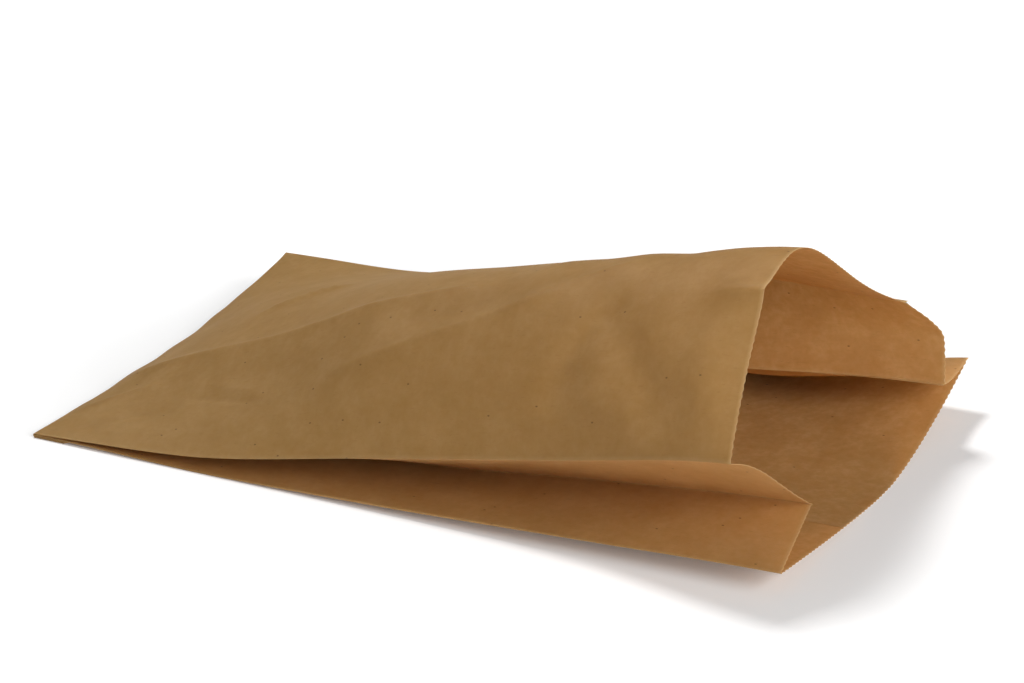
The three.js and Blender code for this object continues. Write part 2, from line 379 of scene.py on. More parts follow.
@dataclass(frozen=True)
class Ripple:
    """Uneven waviness that every sheet of light paper has.

    It is pressed flat at the closed end and grows over opening, in millimetres from that end.
    """

    height: float = 0.35
    pitch: float = 42.0
    fine_height: float = 0.05
    fine_pitch: float = 9.0
    opening: Span = (10.0, 90.0)
    seed: float = 7.3

    def lift(self, along: float, around: float) -> float:
        """Height of the waviness at one place of the flat sheet.

        Args:
            along: Millimetres from the closed end.
            around: Millimetres from the sheet's outer glued edge.

        Returns:
            Height outwards, in millimetres.
        """
        broad = noise.noise(Vector((along / self.pitch, around / self.pitch, self.seed)))
        fine = noise.noise(Vector((along / self.fine_pitch, around / self.fine_pitch, self.seed)))
        return self.height * broad + self.fine_height * fine


@dataclass(frozen=True)
class Column:
    """One lengthwise line of the sheet: its face or fold, its place there and its cut."""

    face: Face | None
    corner: Corner | None
    share: float
    around: float
    tooth: float


@dataclass
class Point:
    """A point of the sheet's middle, in millimetres, and its direction outwards."""

    x: float
    y: float
    z: float
    out_y: float = 0.0
    out_z: float = 1.0


@dataclass(frozen=True)
class KraftPaper:
    """Unbleached machine-finished kraft paper.

    It is pressed from long brown wood fibres, which gives the eye a mottled reddish brown, short
    fibre strokes along the machine direction, a few dark bark specks, and a faint sheen at a
    low angle from the smoothed face. The pleats, the back panel and the unglazed inner side are
    painted a redder, lighter tone, which is painted light: it stands in for the light that the
    brown faces throw onto each other and that shines through the sheet.
    """

    name: str = "kraft_paper_machine_finished"
    base: str = "#9C7642"
    mottle_dark: str = "#97713C"
    mottle_light: str = "#A27C49"
    # Tone of painted light: the redder, lighter brown where light bounces between the faces.
    warm_light_tint: str = "#B5834D"
    warm_light_everywhere: bool = False
    blotch_share: float = 0.35
    fibre: str = "#7F5A2C"
    speck: str = "#46301A"
    # Lighter tint of the folds and the cut edge: partly rubbed fibre, partly painted highlight.
    wear_and_highlight_tint: str = "#C8A475"
    mottle_mm: float = 14.0
    blotch_mm: float = 3.0
    fibre_mm: float = 0.9
    fibre_stretch: float = 5.0
    speck_mm: float = 8.0
    speck_share: float = 0.2
    speck_turn: float = 0.5
    speck_stretch: float = 0.6
    speck_edges: Span = (0.045, 0.02)
    tone_places: tuple[float, float, float] = (0.36, 0.5, 0.64)
    fibre_edges: Span = (0.56, 0.72)
    fibre_strength: float = 0.3
    speck_strength: float = 0.7
    wear_and_highlight_strength: float = 0.5
    roughness: float = 0.66
    specular: float = 0.3
    glow_through: float = 0.6
    glow_mm: float = 0.8
    glow_reach: tuple[float, float, float] = (1.0, 0.8, 0.6)
    bump_mm: float = 0.02
    bump_strength: float = 0.35

    def make(self) -> bpy.types.Material:
        """Builds the material, which reads the sheet's own flat UV map in metres.

        Returns:
            The new material.
        """
        material = bpy.data.materials.new(self.name)
        material.use_nodes = True
        tree = material.node_tree
        shader = tree.nodes["Principled BSDF"]
        shader.inputs["Roughness"].default_value = self.roughness
        shader.inputs["Specular IOR Level"].default_value = self.specular
        shader.inputs["Subsurface Weight"].default_value = self.glow_through
        shader.inputs["Subsurface Radius"].default_value = self.glow_reach
        shader.inputs["Subsurface Scale"].default_value = self.glow_mm * MM
        flat = add_node(tree, "ShaderNodeUVMap", uv_map="flat_sheet").outputs["UV"]
        grain = add_node(
            tree, "ShaderNodeMapping", {"Vector": flat, "Scale": (1 / self.fibre_stretch, 1, 1)}
        )
        mottle = self._noise(tree, flat, self.mottle_mm, detail=4.0, rough=0.6)
        blotch = self._noise(tree, flat, self.blotch_mm, detail=3.0, rough=0.6)
        fibres = self._noise(tree, grain.outputs["Vector"], self.fibre_mm, detail=4.0, rough=0.75)
        tone = add_node(tree, "ShaderNodeMix", {"Factor": self.blotch_share, "A": mottle, "B": blotch})
        ramp = add_node(tree, "ShaderNodeValToRGB", {"Fac": tone.outputs["Result"]})
        self._stops(ramp, (self.mottle_dark, self.base, self.mottle_light))
        # Painted light: the pleats, the back and the inner side get a redder, lighter tone.
        warm_lit = self._paint_warm_light(tree, ramp.outputs["Color"])
        fibre_mask = self._mask(tree, fibres, self.fibre_edges)
        fibred = self._paint(tree, warm_lit, fibre_mask, self.fibre_strength, self.fibre)
        specks = self._speck_mask(tree, flat)
        specked = self._paint(tree, fibred, specks, self.speck_strength, self.speck)
        # Painted highlight and rubbing: the folds and the cut edge are made lighter.
        wear_and_highlight = add_node(tree, "ShaderNodeAttribute", attribute_name="wear_and_highlight")
        wear_and_highlight_tint = self._paint(tree, specked, wear_and_highlight.outputs["Fac"], self.wear_and_highlight_strength, self.wear_and_highlight_tint)
        tree.links.new(wear_and_highlight_tint, shader.inputs["Base Color"])
        bump = add_node(
            tree,
            "ShaderNodeBump",
            {"Height": fibres, "Strength": self.bump_strength, "Distance": self.bump_mm * MM},
        )
        tree.links.new(bump.outputs["Normal"], shader.inputs["Normal"])
        return material

    def _paint_warm_light(self, tree: Tree, tone: Socket) -> Socket:
        """Paints light: turns the tone to a redder, lighter brown on the pleats, the back and the inner
        side, in place of light reflected between the brown faces and shining through the paper.

        Args:
            tree: The material's node tree.
            tone: The plain colour.

        Returns:
            The colour with the painted light.
        """
        wanted, plain = linear_colour(self.warm_light_tint), linear_colour(self.base)
        gain = [w / p for w, p in zip(wanted, plain)]
        mix = add_node(tree, "ShaderNodeMix", data_type="RGBA", blend_type="MULTIPLY")
        if self.warm_light_everywhere:
            mix.inputs[MIX_FACTOR].default_value = 1.0
        else:
            painted_warm_light = add_node(tree, "ShaderNodeAttribute", attribute_name="painted_warm_light")
            tree.links.new(painted_warm_light.outputs["Fac"], mix.inputs[MIX_FACTOR])
        tree.links.new(tone, mix.inputs[MIX_FIRST])
        mix.inputs[MIX_SECOND].default_value = tuple(gain)
        return mix.outputs[MIX_RESULT]

    @staticmethod
    def _noise(tree: Tree, vector: Socket, size_mm: float, detail: float, rough: float) -> Socket:
        """Adds a noise to the material.

        Args:
            tree: The material's node tree.
            vector: Place on the flat sheet.
            size_mm: Width of the noise's features.
            detail: Number of finer layers.
            rough: Strength of each finer layer.

        Returns:
            The noise's value.
        """
        inputs = {"Vector": vector, "Scale": 1 / (size_mm * MM), "Detail": detail, "Roughness": rough}
        return add_node(tree, "ShaderNodeTexNoise", inputs).outputs["Fac"]

    def _stops(self, ramp: bpy.types.Node, colours: tuple[str, ...]) -> None:
        """Sets a colour ramp's stops.

        Args:
            ramp: The colour ramp.
            colours: One hex colour for each of the tone places.
        """
        elements = ramp.color_ramp.elements
        while len(elements) < len(colours):
            elements.new(0.5)
        for element, place, colour in zip(elements, self.tone_places, colours):
            element.position = place
            element.color = linear_colour(colour)

    @staticmethod
    def _mask(tree: Tree, value: Socket, edges: Span) -> Socket:
        """Turns a value to a mask that rises smoothly between two edges.

        Args:
            tree: The material's node tree.
            value: The value.
            edges: Where the mask is 0, and where it is 1.

        Returns:
            The mask.
        """
        inputs = {"Value": value, "From Min": edges[0], "From Max": edges[1]}
        node = add_node(tree, "ShaderNodeMapRange", inputs, interpolation_type="SMOOTHSTEP")
        return node.outputs["Result"]

    @staticmethod
    def _paint(tree: Tree, under: Socket, mask: Socket, strength: float, colour: str) -> Socket:
        """Paints a colour over another where a mask is set.

        Args:
            tree: The material's node tree.
            under: The colour painted over.
            mask: Where the paint lies.
            strength: How much of it shows.
            colour: The paint's hex colour.

        Returns:
            The painted colour.
        """
        amount = add_node(tree, "ShaderNodeMath", {0: mask, 1: strength}, operation="MULTIPLY")
        mix = add_node(tree, "ShaderNodeMix", data_type="RGBA")
        tree.links.new(amount.outputs["Value"], mix.inputs[MIX_FACTOR])
        tree.links.new(under, mix.inputs[MIX_FIRST])
        mix.inputs[MIX_SECOND].default_value = linear_colour(colour)
        return mix.outputs[MIX_RESULT]

    def _speck_mask(self, tree: Tree, flat: Socket) -> Socket:
        """Marks a few short dark bark specks, at random places of a cell pattern.

        Args:
            tree: The material's node tree.
            flat: Place on the flat sheet.

        Returns:
            The mask of the specks.
        """
        turn, stretch = (0, 0, self.speck_turn), (self.speck_stretch, 1, 1)
        place = {"Vector": flat, "Rotation": turn, "Scale": stretch}
        turned = add_node(tree, "ShaderNodeMapping", place)
        cells = add_node(
            tree,
            "ShaderNodeTexVoronoi",
            {"Vector": turned.outputs["Vector"], "Scale": 1 / (self.speck_mm * MM), "Randomness": 1.0},
            voronoi_dimensions="2D",
        )
        outer, inner = self.speck_edges
        edges = {"Value": cells.outputs["Distance"], "From Min": outer, "From Max": inner}
        spot = add_node(tree, "ShaderNodeMapRange", edges).outputs["Result"]
        chosen = add_node(tree, "ShaderNodeSeparateColor", {"Color": cells.outputs["Color"]})
        share = {0: chosen.outputs["Red"], 1: 1 - self.speck_share}
        few = add_node(tree, "ShaderNodeMath", share, operation="GREATER_THAN").outputs["Value"]
        return add_node(tree, "ShaderNodeMath", {0: spot, 1: few}, operation="MULTIPLY").outputs["Value"]


def add_node(
    tree: Tree, kind: str, inputs: dict[str | int, object] | None = None, **settings: object
) -> bpy.types.Node:
    """Adds a node with its settings, input values and links.

    Args:
        tree: The node tree.
        kind: The node's type name.
        inputs: Values or output sockets by input name or number.
        **settings: Properties of the node, set before its inputs.

    Returns:
        The new node.
    """
    node = tree.nodes.new(kind)
    for name, value in settings.items():
        setattr(node, name, value)
    for name, value in (inputs or {}).items():
        socket = node.inputs[name]
        if isinstance(value, Socket):
            tree.links.new(value, socket)
        else:
            socket.default_value = value
    return node


@dataclass
class PaperBag:
    """The bag: one folded and glued sheet of kraft paper.

    The steps are how many strips the grid has on each face and round each fold, and row_step is
    the widest gap of its crosswise lines. flap_rows are those past the closed end, in
    millimetres, close together where the paper turns under.
    """

    sizes: BagSizes = field(default_factory=BagSizes)
    margins: SolidMargins = field(default_factory=SolidMargins)
    wear_and_highlight: WearAndHighlight = field(default_factory=WearAndHighlight)
    arch: Arch = field(default_factory=Arch)
    ripple: Ripple = field(default_factory=Ripple)
    end_wave: EndWave = field(default_factory=EndWave)
    paper: KraftPaper = field(default_factory=KraftPaper)
    # The inner side's paper is a lighter, redder copy of the outer one: painted light for the light
    # inside the bag.
    inner_side: KraftPaper = field(
        default_factory=lambda: KraftPaper(
            name="kraft_paper_inner_side_warm_lit",
            mottle_dark="#956F3B",
            mottle_light="#A57F4C",
            blotch_share=0.45,
            warm_light_everywhere=True,
            roughness=0.8,
            specular=0.2,
        )
    )
    near_curl: Curl = Curl((0, 0, 2, 5.5, 9), (0.5, 0.5, 0.5, 0.5, 0.5), 1.3)
    far_curl: Curl = Curl((16, 1.2, 0, 0.5, 19.3), (0.42, 0.42, 0.42, 0.48, 0.55), 1.5)
    mouth_bow: dict[Face, Bow] = field(
        default_factory=lambda: {Face.NEAR_UPPER: Bow(-2.4, 1.8), Face.FAR_LOWER: Bow(-2.0)}
    )
    far_bend: MiddleBend = field(default_factory=MiddleBend)
    bow_start: float = 0.5
    pressed_share: float = 0.3
    crease_window: float = 2.5
    smooth_angle: float = 50.0
    gusset_steps: int = 30
    front_steps: int = 128
    back_far_steps: int = 90
    back_near_steps: int = 54
    fold_steps: int = 4
    row_step: float = 3.2
    flap_rows: tuple[float, ...] = (-12.0, -8.0, -5.0, -3.2, -2.4, -1.8, -1.3, -0.9, -0.6, -0.3)
    creases: tuple[Crease, ...] = FRONT_CREASES

    def __post_init__(self) -> None:
        """Works out what the folding needs from the sizes."""
        self.folds = fold_lines(self.sizes)
        stack = self.sizes.layers_at_end * self.sizes.fold_radius + 2 * self.sizes.flap_gap
        self.base_lift = stack + self.sizes.sheet_thickness / 2
        self.columns = self._columns()
        self.rows = self._rows()

    def build(self) -> bpy.types.Object:
        """Makes the finished bag.

        Returns:
            The bag's object, with its place in its mesh.
        """
        sheet = self._flat_grid()
        self._fold(sheet)
        sheet.data.materials.clear()
        sheet.data.materials.append(self.paper.make())
        sheet.data.materials.append(self.inner_side.make())
        self._thicken(sheet)
        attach(sheet, BAG_BODY)
        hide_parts(BAG_NODE)
        log.info("%s: %d faces", sheet.name, len(sheet.data.polygons))
        return sheet

    def _columns(self) -> list[Column]:
        """Lists the sheet's lengthwise lines.

        Returns:
            The lines from the outer glued edge to the inner one.
        """
        s = self.sizes
        seam_near = s.seam_from_near_edge
        seam_far = seam_near + s.seam_width
        back_end = 1 - seam_near / s.panel_width
        faces = [
            (Face.BACK_NEAR, self.back_near_steps, 1 - seam_far / s.panel_width, 1.0, seam_far),
            (Face.NEAR_LOWER, self.gusset_steps, 0.0, 1.0, s.gusset_depth),
            (Face.NEAR_UPPER, self.gusset_steps, 0.0, 1.0, s.gusset_depth),
            (Face.FRONT, self.front_steps, 0.0, 1.0, s.panel_width),
            (Face.FAR_UPPER, self.gusset_steps, 0.0, 1.0, s.gusset_depth),
            (Face.FAR_LOWER, self.gusset_steps, 0.0, 1.0, s.gusset_depth),
            (Face.BACK_FAR, self.back_far_steps, 0.0, back_end, s.panel_width - seam_near),
        ]
        corners = list(Corner)
        columns: list[Column] = []
        around = 0.0
        for number, (face, steps, first, last, width) in enumerate(faces):
            for k in range(steps + 1):
                share = lerp(first, last, k / steps)
                columns.append(Column(face, None, share, around + width * k / steps, float(k % 2)))
            around += width
            if number < len(corners):
                for k in range(1, self.fold_steps):
                    columns.append(Column(None, corners[number], k / self.fold_steps, around, 0.0))
        return columns

    def _rows(self) -> list[float]:
        """Lists the sheet's crosswise lines.

        Returns:
            Their distances from the closed end in millimetres, below 0 on the flap.
        """
        s = self.sizes
        even = s.length - s.mouth_band
        count = math.ceil(even / self.row_step)
        body = [even * k / count for k in range(count + 1)]
        return [-s.flap_length, *self.flap_rows, *body, s.length - s.mouth_row, s.length]

    def _flat_grid(self) -> bpy.types.Object:
        """Adds the sheet as a flat grid with one point for each column and row.

        Returns:
            The grid's object.
        """
        bpy.ops.object.select_all(action="DESELECT")
        width = self.columns[-1].around * MM
        length = (self.sizes.length + self.sizes.flap_length) * MM
        bpy.ops.mesh.primitive_grid_add(
            x_subdivisions=len(self.rows) - 1, y_subdivisions=len(self.columns) - 1, size=1.0
        )
        sheet = bpy.context.active_object
        sheet.name = "folded_sheet"
        sheet.scale = (length, width, 1.0)
        bpy.ops.object.transform_apply(location=True, rotation=True, scale=True)
        return sheet

    def _fold(self, sheet: bpy.types.Object) -> None:
        """Moves every point of the flat grid to its place on the folded bag.

        Args:
            sheet: The flat grid.
        """
        mesh = sheet.data
        row_count, column_count = len(self.rows), len(self.columns)
        spots = [(round(v.co.x, GRID_DIGITS), round(v.co.y, GRID_DIGITS)) for v in mesh.vertices]
        xs = sorted({x for x, _ in spots})
        ys = sorted({y for _, y in spots})
        row_of = {x: i for i, x in enumerate(xs)}
        column_of = {y: i for i, y in enumerate(ys)}
        if len(xs) != row_count or len(ys) != column_count:
            raise ValueError(f"the grid has {len(xs)} by {len(ys)} lines")
        places = [(row_of[x], column_of[y]) for x, y in spots]
        shift = self._shift()
        table = [self._row_points(distance) for distance in self.rows]
        # Share of lighter colour at each point: rubbed fibre and painted highlight on the folds and the
        # cut edge.
        wear_and_highlight = mesh.attributes.new("wear_and_highlight", "FLOAT", "POINT")
        # Share of painted light at each point: the pleats and the back panel.
        painted_warm_light = mesh.attributes.new("painted_warm_light", "FLOAT", "POINT")
        for vertex, (i, j) in zip(mesh.vertices, places):
            point = table[i][j]
            vertex.co = Vector((point.x, point.y, point.z)) * MM + shift
            wear_and_highlight.data[vertex.index].value = self._wear_and_highlight_share(self.rows[i], self.columns[j])
            painted_warm_light.data[vertex.index].value = self._painted_warm_light_share(self.columns[j])
        uv = mesh.uv_layers.active or mesh.uv_layers.new()
        uv.name = "flat_sheet"
        for loop in mesh.loops:
            i, j = places[loop.vertex_index]
            along = self.rows[i] + self.sizes.flap_length
            uv.data[loop.index].uv = (along * MM, self.columns[j].around * MM)
        mesh.update()

    def _shift(self) -> Vector:
        """Works out the step from the bag's own corner to its place in the row frame.

        Returns:
            The step in metres, taken from the solid's box.
        """
        low, high = (Vector(corner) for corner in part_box(BAG_NODE))
        far = self.sizes.panel_width + self.margins.far_edge
        end, floor = self.margins.closed_end, self.margins.floor
        return Vector((low.x + end * MM, high.y - far * MM, low.z + floor * MM))

    @staticmethod
    def _painted_warm_light_share(column: Column) -> float:
        """Share of painted light at one line of the sheet: a redder, lighter tone on the pleats and the
        back.
        """
        return 0.0 if column.face in (None, Face.FRONT) else 1.0

    def _wear_and_highlight_share(self, distance: float, column: Column) -> float:
        """Share of lighter colour at one point, on the folds and the cut edges: partly rubbed fibre,
        partly painted highlight.

        Args:
            distance: Millimetres from the closed end.
            column: The point's lengthwise line.

        Returns:
            The share, from 0 to 1.
        """
        on_fold = column.corner is not None or column.share in (0.0, 1.0)
        fold = self.wear_and_highlight.fold if on_fold else 0.0
        cut = smoothstep(distance, self.sizes.length - self.wear_and_highlight.cut_width, self.sizes.length)
        return max(fold, cut * self.wear_and_highlight.cut)

    def _base_height(self, share: float, v: float) -> float:
        """Height of the back panel.

        Args:
            share: Share of the bag's length, from 0 to 1.
            v: Share of the panel's width from its near edge.

        Returns:
            The height in millimetres.
        """
        near_start = knot_value(self.near_curl.start, share)
        far_start = knot_value(self.far_curl.start, share)
        near = max(0.0, 1 - v / near_start) ** self.near_curl.power
        far = max(0.0, (v - far_start) / (1 - far_start)) ** self.far_curl.power
        near_height = max(0.0, knot_value(self.near_curl.height, share))
        far_height = max(0.0, knot_value(self.far_curl.height, share))
        distance = share * self.sizes.length
        flap = self.sizes.flap_length
        past = smoothstep(distance, flap, flap + self.sizes.flap_lift_length)
        lift = lerp(self.base_lift, self.sizes.sheet_thickness / 2, past)
        return near_height * near + far_height * far + lift

    def _corner_point(self, corner: Corner, share: float) -> Point:
        """Centre of one fold.

        Args:
            corner: The fold.
            share: Share of the bag's length, from 0 to 1.

        Returns:
            The centre, with its height above the back panel.
        """
        fold = self.folds[corner]
        x = self.sizes.length * share + knot_value(fold.along_x, share)
        y = self.sizes.panel_width * fold.flat_share + knot_value(fold.across_y, share)
        z = fold.layer * self.sizes.fold_radius + knot_value(fold.rise, share)
        return Point(x, y, z)

    def _arch_path(self, start: Point, end: Point, share: float) -> list[tuple[float, float]]:
        """Front panel's line across the bag, at equal steps along the paper.

        Args:
            start: Near front fold.
            end: Far front fold.
            share: Share of the bag's length.

        Returns:
            One (y, z) for each step of the front panel.
        """
        chord_y, chord_z = end.y - start.y, end.z - start.z
        chord = math.hypot(chord_y, chord_z)
        skew = knot_value(self.arch.skew, share)
        second = knot_value(self.arch.second, share)
        third = knot_value(self.arch.third, share)
        count = self.arch.samples
        shares = [k / count for k in range(count + 1)]
        wave = []
        for t in shares:
            a = math.pi * t**skew
            wave.append(math.sin(a) + second * math.sin(2 * a) + third * math.sin(3 * a))

        def line(height: float) -> list[tuple[float, float]]:
            """Sets the wave over the chord.

            Args:
                height: Height of the wave.

            Returns:
                One (y, z) for each sample.
            """
            points = []
            for t, w in zip(shares, wave):
                y = start.y + chord_y * t - chord_z / chord * height * w
                z = start.z + chord_z * t + chord_y / chord * height * w
                points.append((y, z))
            return points

        def length(points: list[tuple[float, float]]) -> float:
            """Length along a line of points."""
            return sum(math.dist(a, b) for a, b in zip(points, points[1:]))

        wanted = max(self.sizes.panel_width, chord)
        low, high = 0.0, self.sizes.panel_width
        for _ in range(self.arch.halvings):
            middle = (low + high) / 2
            if length(line(middle)) > wanted:
                high = middle
            else:
                low = middle
        points = line(low)
        travelled = [0.0]
        for a, b in zip(points, points[1:]):
            travelled.append(travelled[-1] + math.dist(a, b))
        path = []
        k = 0
        for step in range(self.front_steps + 1):
            target = travelled[-1] * step / self.front_steps
            while k < count - 1 and travelled[k + 1] < target:
                k += 1
            f = (target - travelled[k]) / (travelled[k + 1] - travelled[k])
            (y0, z0), (y1, z1) = points[k], points[k + 1]
            path.append((lerp(y0, y1, f), lerp(z0, z1, f)))
        return path

    def _ring(self, share: float) -> list[Point]:
        """Folded line across the whole sheet at one share of the length.

        Args:
            share: Share of the bag's length, from 0 to 1.

        Returns:
            A point for each column.
        """
        corners = {corner: self._corner_point(corner, share) for corner in Corner}
        ends = {
            Face.BACK_NEAR: (Corner.FAR_BACK, Corner.NEAR_BACK),
            Face.NEAR_LOWER: (Corner.NEAR_BACK, Corner.NEAR_CREASE),
            Face.NEAR_UPPER: (Corner.NEAR_CREASE, Corner.NEAR_FRONT),
            Face.FRONT: (Corner.NEAR_FRONT, Corner.FAR_FRONT),
            Face.FAR_UPPER: (Corner.FAR_FRONT, Corner.FAR_CREASE),
            Face.FAR_LOWER: (Corner.FAR_CREASE, Corner.FAR_BACK),
            Face.BACK_FAR: (Corner.FAR_BACK, Corner.NEAR_BACK),
        }
        grow = smoothstep(share, self.bow_start, 1.0)
        bent = smoothstep(share, self.far_bend.start, 1.0)
        pressed = 1 - smoothstep(share, 0.0, self.pressed_share)
        arch = self._arch_path(corners[Corner.NEAR_FRONT], corners[Corner.FAR_FRONT], share)
        draw = knot_value(self.arch.draw, share)
        base_at = {c: self._base_height(share, fold.flat_share) for c, fold in self.folds.items()}
        points: list[Point | None] = []
        for column in self.columns:
            if column.face is None:
                points.append(None)
                continue
            first, last = ends[column.face]
            a, b, t = corners[first], corners[last], column.share
            v = lerp(self.folds[first].flat_share, self.folds[last].flat_share, t)
            x = lerp(a.x, b.x, t)
            if column.face is Face.FRONT:
                y, z = arch[round(t * self.front_steps)]
                x -= draw * math.sin(math.pi * t)
            else:
                chord = math.hypot(b.y - a.y, b.z - a.z)
                bow = self.mouth_bow.get(column.face, Bow(0.0)).lift(t) * grow
                if column.face is Face.FAR_UPPER:
                    bow += self.far_bend.height * self.far_bend.shape(t) * bent
                    x += self.far_bend.out * self.far_bend.shape(t) * bent
                y = lerp(a.y, b.y, t) - (b.z - a.z) / chord * bow
                z = lerp(a.z, b.z, t) + (b.y - a.y) / chord * bow
            back = column.face in (Face.BACK_NEAR, Face.BACK_FAR)
            straight = lerp(base_at[first], base_at[last], t)
            z += lerp(straight, self._base_height(share, v), 1.0 if back else pressed)
            points.append(Point(x, y, z))
        return self._bend_folds(points)

    def _bend_folds(self, points: list[Point | None]) -> list[Point]:
        """Bends the sheet round a small circle at each fold and sets each point's outward side.

        Args:
            points: Face points on the lines between fold centres, None on the folds.

        Returns:
            All points, with the faces moved to lie on the circles.
        """
        radius = self.sizes.fold_radius
        runs: list[list[int]] = []
        for index, point in enumerate(points):
            if point is None:
                continue
            if runs and runs[-1][-1] == index - 1:
                runs[-1].append(index)
            else:
                runs.append([index])
        bends = []
        for before, after in zip(runs, runs[1:]):
            centre = points[after[0]]
            back = self._direction(points[before[-1]], points[before[-2]])
            ahead = self._direction(points[after[0]], points[after[1]])
            turn = 1.0 if back[0] * ahead[1] - back[1] * ahead[0] >= 0 else -1.0
            arrive = (back[1] * turn * radius, -back[0] * turn * radius)
            leave = (-ahead[1] * turn * radius, ahead[0] * turn * radius)
            bends.append((centre, arrive, leave, turn))
        floor_side = (0.0, -radius)
        result: list[Point] = [p or Point(0, 0, 0) for p in points]
        for number, run in enumerate(runs):
            first = bends[number - 1][2] if number else floor_side
            last = bends[number][1] if number < len(bends) else bends[-1][2]
            for place, index in enumerate(run):
                t = place / (len(run) - 1)
                source = points[index]
                y = source.y + lerp(first[0], last[0], t)
                z = source.z + lerp(first[1], last[1], t)
                result[index] = Point(source.x, y, z)
        for number, (centre, arrive, leave, turn) in enumerate(bends):
            start = math.atan2(arrive[1], arrive[0])
            sweep = ((start - math.atan2(leave[1], leave[0])) * turn) % (2 * math.pi)
            for k in range(1, self.fold_steps):
                a = start - turn * sweep * k / self.fold_steps
                y, z = centre.y + radius * math.cos(a), centre.z + radius * math.sin(a)
                result[runs[number][-1] + k] = Point(centre.x, y, z)
        for index, point in enumerate(result):
            before = result[max(index - 1, 0)]
            after = result[min(index + 1, len(result) - 1)]
            along = self._direction(before, after)
            point.out_y, point.out_z = -along[1], along[0]
        return result

    @staticmethod
    def _direction(a: Point, b: Point) -> tuple[float, float]:
        """Unit direction across the bag from a to b."""
        size = math.hypot(b.y - a.y, b.z - a.z) or 1.0
        return ((b.y - a.y) / size, (b.z - a.z) / size)

    def _row_points(self, distance: float) -> list[Point]:
        """Points of one crosswise line of the sheet.

        Args:
            distance: Millimetres from the closed end, below 0 on the flap.

        Returns:
            A point for each column.
        """
        share = max(distance, 0.0) / self.sizes.length
        ring = self._ring(share)
        points = [self._detail(point, column, distance) for point, column in zip(ring, self.columns)]
        if distance < 0:
            points = [self._turn_under(point, -distance) for point in points]
        for point in points:
            point.x += self.end_wave.step(max(distance, 0.0), point.y)
        if distance == self.sizes.length:
            inner = self._ring(1 - self.sizes.cut_reach / self.sizes.length)
            for point, column, behind in zip(points, self.columns, inner):
                self._cut_tooth(point, column, behind)
        return points

    def _detail(self, point: Point, column: Column, distance: float) -> Point:
        """Adds the glued overlap's step, the creases and the waviness to one point.

        Args:
            point: The point on the plain fold.
            column: Its lengthwise line.
            distance: Millimetres from the closed end.

        Returns:
            The same point, moved.
        """
        s = self.sizes
        if column.face in (None, Face.BACK_NEAR):
            return point
        if column.face is Face.BACK_FAR:
            away = s.panel_width * (1 - column.share)
            seam_far = s.seam_from_near_edge + s.seam_width
            step = 1 - smoothstep(away, seam_far, seam_far + s.seam_blend)
            point.z += step * (s.sheet_thickness + s.seam_glue)
            return point
        fade = math.sin(math.pi * min(column.share, 1.0))
        opened = smoothstep(distance, *self.ripple.opening)
        waviness = self.ripple.lift(distance, column.around) * opened
        if column.face is Face.FRONT:
            window = min(1.0, fade * self.crease_window)
            across = column.share * s.panel_width
            loose = smoothstep(distance, 0.0, s.flap_length)
            creased = sum(crease.lift(distance, across) for crease in self.creases)
            lift = creased * window * loose + waviness * window
        else:
            lift = waviness * fade
        point.y += point.out_y * lift
        point.z += point.out_z * lift
        return point

    def _turn_under(self, point: Point, past_end: float) -> Point:
        """Rolls one point of the closed end under the bag, onto the glued flap.

        Args:
            point: The point at the closed end.
            past_end: Millimetres of sheet past the closed end.

        Returns:
            The point on the flap.
        """
        v = min(max(point.y / self.sizes.panel_width, 0.0), 1.0)
        height = point.z - self._base_height(0.0, v)
        radius = height + self.sizes.flap_gap
        turned = min(past_end / radius, math.pi) if radius > 0 else math.pi
        under = max(past_end - math.pi * radius, 0.0)
        slope = self._base_height(under / self.sizes.length, v) - self._base_height(0.0, v)
        axis = point.z - radius
        x = point.x - radius * math.sin(turned) + under
        z = axis + radius * math.cos(turned) + slope
        return Point(x, point.y, z, point.out_y, point.out_z)

    def _cut_tooth(self, point: Point, column: Column, behind: Point) -> None:
        """Draws one point of the mouth back to the root of the zigzag cut.

        Args:
            point: The point at the mouth, which is moved.
            column: Its lengthwise line.
            behind: The same line's point a little inside the mouth.
        """
        depth = self.sizes.tooth_depth * column.tooth
        if column.face is Face.FAR_UPPER:
            fade = smoothstep(column.share, 0.0, self.sizes.notch_share)
            depth += self.sizes.notch_depth * (1 - fade)
        size = math.dist((point.x, point.y, point.z), (behind.x, behind.y, behind.z))
        share = depth / size
        point.x = lerp(point.x, behind.x, share)
        point.y = lerp(point.y, behind.y, share)
        point.z = lerp(point.z, behind.z, share)

    def _thicken(self, sheet: bpy.types.Object) -> None:
        """Gives the sheet its thickness and its smooth shading.

        Args:
            sheet: The folded sheet.
        """
        bpy.ops.object.select_all(action="DESELECT")
        bpy.context.view_layer.objects.active = sheet
        sheet.select_set(True)
        solidify = sheet.modifiers.new("thickness", "SOLIDIFY")
        solidify.thickness = self.sizes.sheet_thickness * MM
        solidify.offset = 0.0
        solidify.material_offset = 1
        bpy.ops.object.modifier_apply(modifier=solidify.name)
        bpy.ops.object.shade_smooth_by_angle(angle=math.radians(self.smooth_angle))


@dataclass(frozen=True)
class Lamp:
    """A soft square lamp: its middle and its side in metres, and its power in watts."""

    name: str
    place: tuple[float, float, float]
    side: float
    power: float


